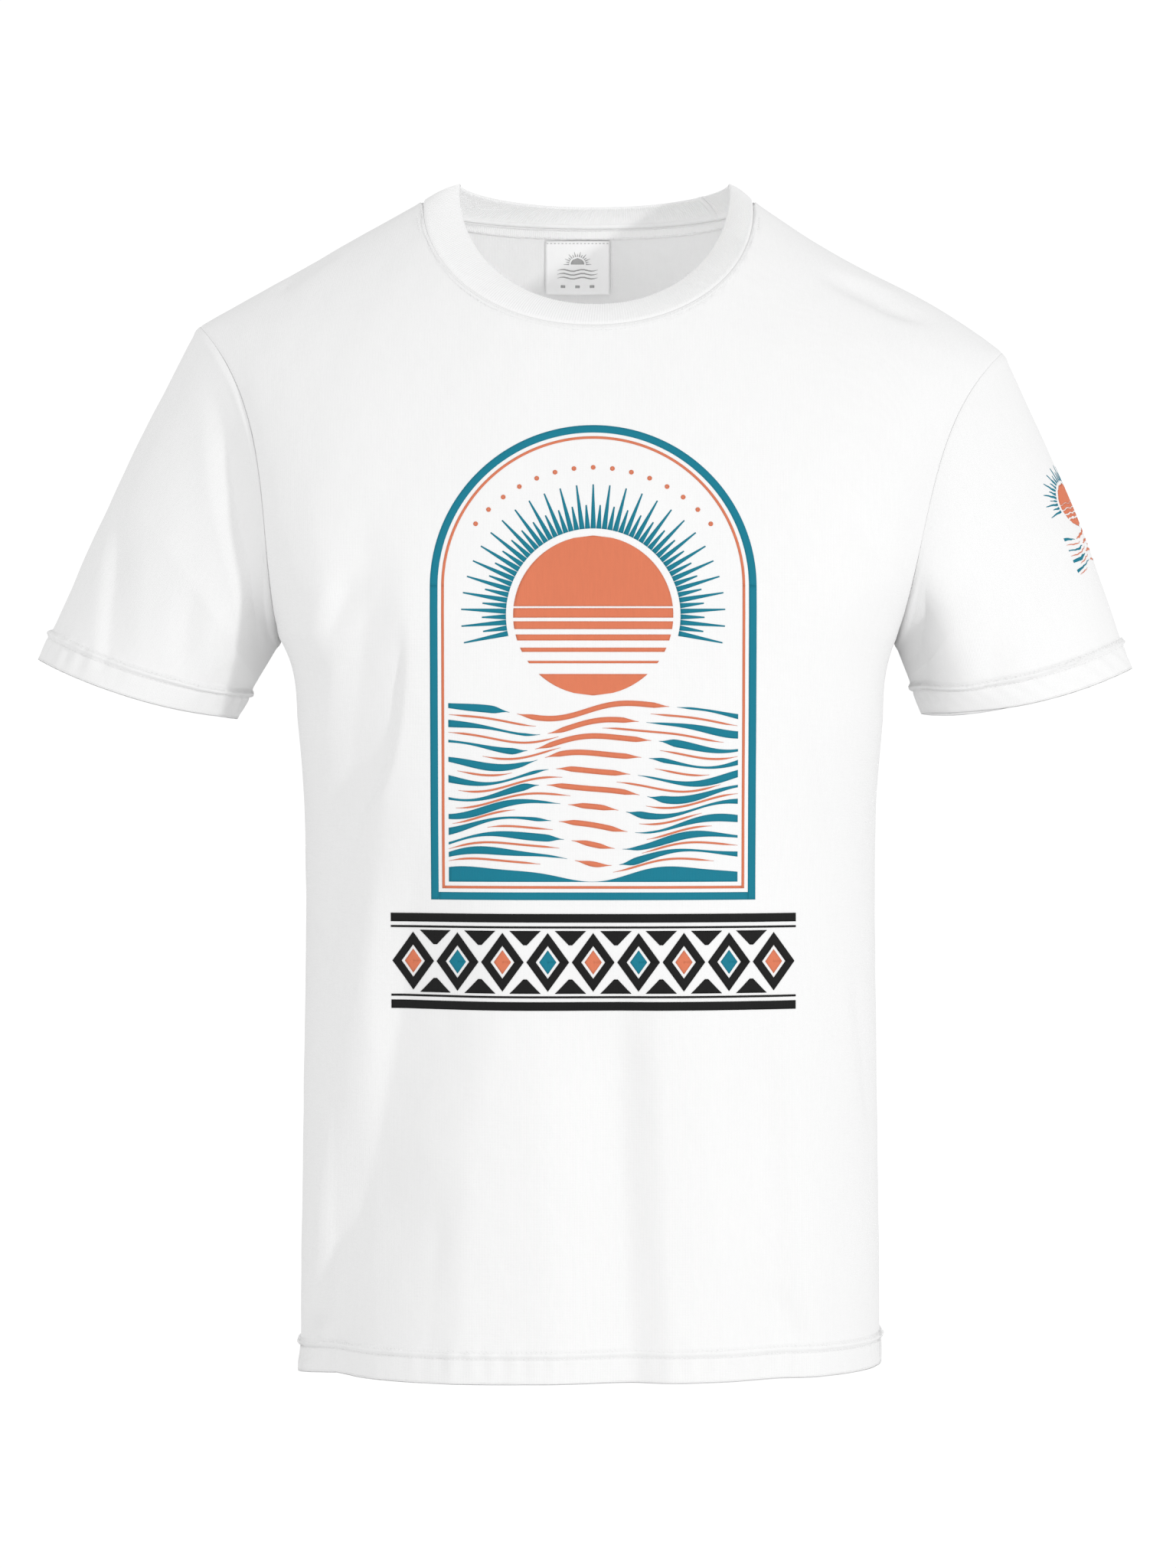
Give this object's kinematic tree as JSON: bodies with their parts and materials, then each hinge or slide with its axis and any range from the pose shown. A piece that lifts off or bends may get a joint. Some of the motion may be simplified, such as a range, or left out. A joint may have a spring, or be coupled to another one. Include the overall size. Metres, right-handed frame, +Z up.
{
  "type": "short-sleeved crew-neck t-shirt",
  "caption": "Short-sleeved crew-neck jersey shirt with a rib collar and turned-up hems, standing open as it is worn.",
  "frame": {"origin": "midway between the high points of the two shoulders, where shoulder seam and collar seam meet", "axes": "+Z up to the collar, +X towards the wearer's left, the chest faces -Y"},
  "size_m": [0.658, 0.2562, 0.7151],
  "materials": {
    "jersey": "white cotton jersey, matt, fine knit",
    "rib": "white cotton rib knit, matt",
    "tape": "white twill tape and overlocked edges",
    "label": "white woven satin, soft sheen",
    "thread": "white polyester sewing thread",
    "print_teal": "screen print ink, teal, matt",
    "print_coral": "screen print ink, coral, matt",
    "print_black": "screen print ink, black, matt"
  },
  "bodies": {
    "root": {"front_panel": "jersey", "back_panel": "jersey", "sleeve_left": "jersey", "sleeve_right": "jersey", "collar": "rib", "hem_turning": "jersey", "cuff_turning_left": "jersey", "cuff_turning_right": "jersey", "side_seam_left": "tape", "side_seam_right": "tape", "shoulder_tape_left": "tape", "shoulder_tape_right": "tape", "neck_tape": "tape", "neck_label": "label"}
  },
  "joints": []
}
